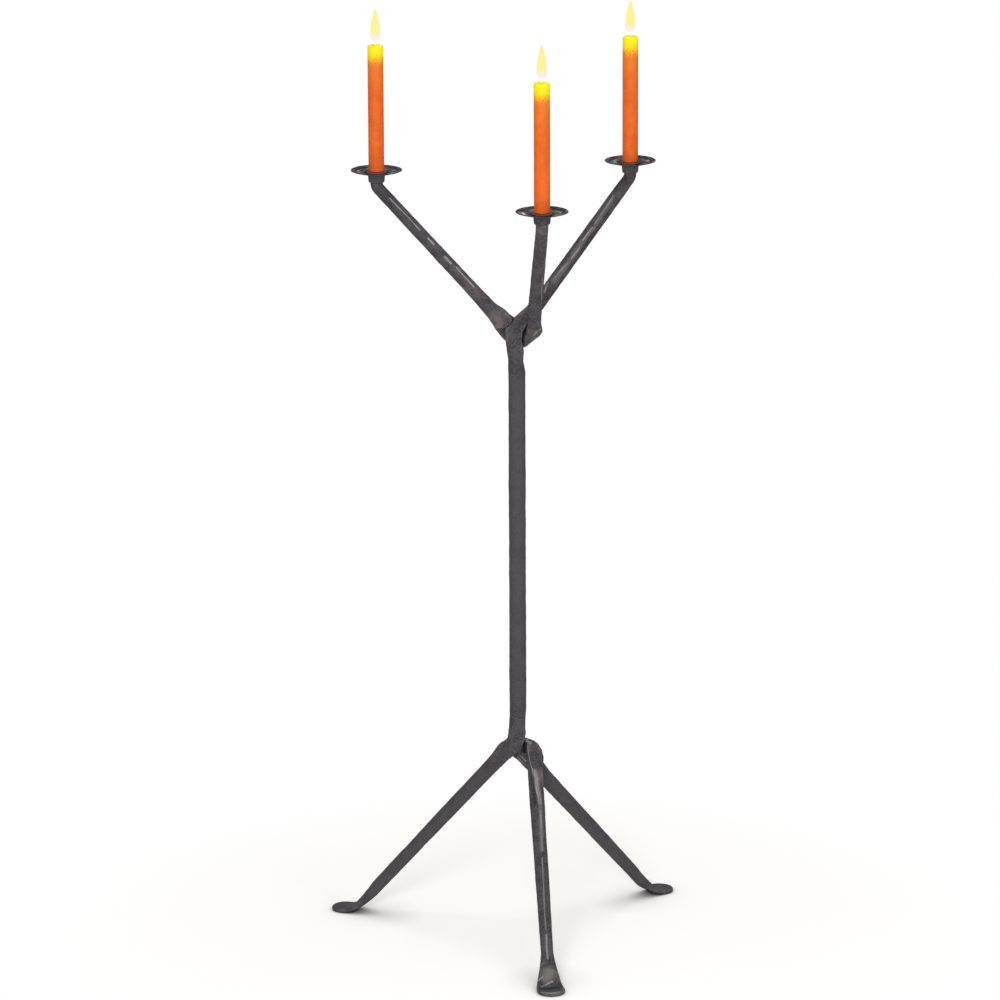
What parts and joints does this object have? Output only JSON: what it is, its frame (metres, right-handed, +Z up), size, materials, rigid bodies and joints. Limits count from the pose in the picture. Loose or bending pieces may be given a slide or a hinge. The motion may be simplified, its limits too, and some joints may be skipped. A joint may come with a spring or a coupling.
{
  "type": "torchere candle stand",
  "caption": "Forged iron floor candle stand: a round post on splayed legs with round feet, and spreading arms that each carry a shallow drip pan, a cup and a taper candle.",
  "frame": {"origin": "middle of the floor under the bounding box; the post stands 66.5 mm behind it", "axes": "+Z up along the post, -Y towards the front arm and front leg, +X to the right seen from the front"},
  "size_m": [0.4991, 0.4374, 1.2739],
  "materials": {
    "forged_iron": "black forged wrought iron, waxed, with worn lighter edges",
    "sheet_iron": "black sheet iron, satin",
    "rivet_iron": "black iron, filed flush",
    "screw_steel": "plain",
    "wax": "smooth dyed wax, yellow at the top",
    "wick": "braided cotton"
  },
  "bodies": {
    "stand": {"post": "forged_iron", "arm_left": "forged_iron", "arm_front": "forged_iron", "arm_right": "forged_iron", "leg_left": "forged_iron", "leg_front": "forged_iron", "leg_right": "forged_iron", "arm_rivet": "rivet_iron", "leg_rivet": "rivet_iron", "drip_pan_left": "sheet_iron", "drip_pan_front": "sheet_iron", "drip_pan_right": "sheet_iron", "candle_cup_left": "forged_iron", "candle_cup_front": "forged_iron", "candle_cup_right": "forged_iron", "cup_screw_left": "screw_steel", "cup_screw_front": "screw_steel", "cup_screw_right": "screw_steel"},
    "candle_left_body": {"candle_left": "wax", "wick_left": "wick"},
    "candle_front_body": {"candle_front": "wax", "wick_front": "wick"},
    "candle_right_body": {"candle_right": "wax", "wick_right": "wick"}
  },
  "joints": [
    {"name": "candle_left_lift", "type": "slide", "parent": "stand", "child": "candle_left_body", "axis": [0, 0, 1], "range_m": [0, 0.03]},
    {"name": "candle_front_lift", "type": "slide", "parent": "stand", "child": "candle_front_body", "axis": [0, 0, 1], "range_m": [0, 0.03]},
    {"name": "candle_right_lift", "type": "slide", "parent": "stand", "child": "candle_right_body", "axis": [0, 0, 1], "range_m": [0, 0.03]}
  ]
}
